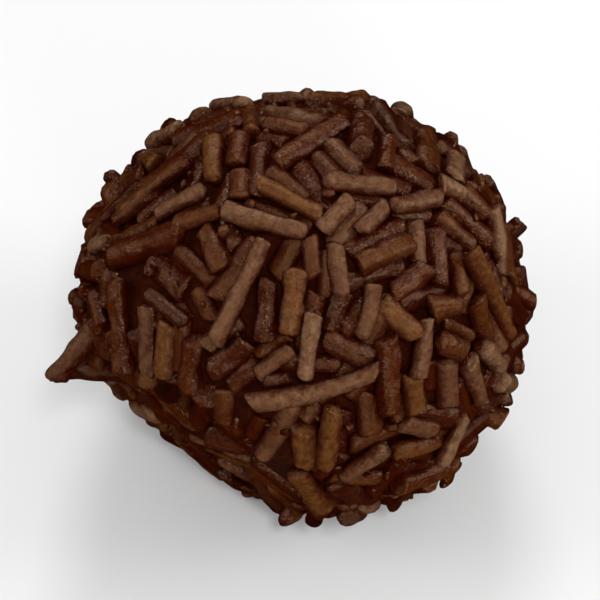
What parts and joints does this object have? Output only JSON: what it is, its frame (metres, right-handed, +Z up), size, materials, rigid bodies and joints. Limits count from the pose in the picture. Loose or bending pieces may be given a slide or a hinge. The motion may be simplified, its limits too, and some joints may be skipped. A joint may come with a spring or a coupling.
{
  "type": "chocolate truffle",
  "caption": "Bite-size chocolate truffle: a soft fudge ball rolled in dark chocolate sprinkles, slightly lumpy, with one pressed side and a small flat foot.",
  "frame": {"origin": "on the plane that the truffle rests on, under the middle of its outline", "axes": "+Z up; the side that shows best faces -Y and up; +X to its right. Each axis claim is a measured extent, as a ball has no other axis"},
  "size_m": [0.0312, 0.0293, 0.0276],
  "materials": {
    "chocolate": "satin"
  },
  "bodies": {
    "root": {"truffle": "chocolate"}
  },
  "joints": []
}
